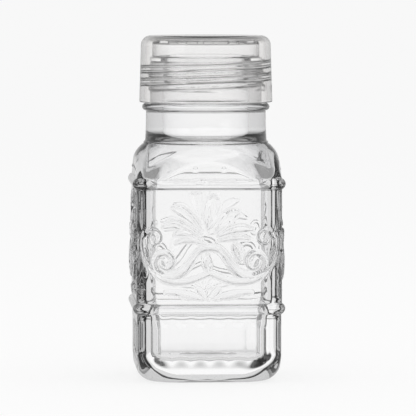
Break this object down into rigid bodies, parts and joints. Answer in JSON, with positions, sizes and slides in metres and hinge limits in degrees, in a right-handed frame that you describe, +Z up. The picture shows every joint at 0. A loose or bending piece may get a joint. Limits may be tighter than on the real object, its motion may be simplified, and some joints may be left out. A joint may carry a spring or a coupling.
{
  "type": "spice jar",
  "caption": "Square pressed-glass spice shaker with ribs, relief scrolls and fluted foot band, a raised sifter insert in the mouth and a clear plastic screw cap.",
  "frame": {"origin": "centre of the foot, on the surface that the jar stands on", "axes": "+Z up the jar's axis, +X and +Y square to the glass faces, the pictured face towards -Y"},
  "size_m": [0.0464, 0.0464, 0.105],
  "materials": {
    "clear_glass": "smooth pressed glass",
    "insert_plastic": "clear moulded plastic",
    "cap_plastic": "clear, faintly grey moulded plastic"
  },
  "bodies": {
    "jar": {"glass_jar": "clear_glass"},
    "insert": {"shaker_insert": "insert_plastic"},
    "cap": {"screw_cap": "cap_plastic"}
  },
  "joints": [
    {"name": "cap_turn", "type": "hinge", "parent": "jar", "child": "insert", "pos_m": [0, 0, 0.0971], "axis": [0, 0, 1], "range_deg": [0, 2160]},
    {"name": "cap_lift", "type": "slide", "parent": "insert", "child": "cap", "axis": [0, 0, 1], "range_m": [0, 0.0231]}
  ],
  "couplings": [
    {"joint": "cap_lift", "follows": "cap_turn", "m_per_rad": 0.00061274}
  ]
}
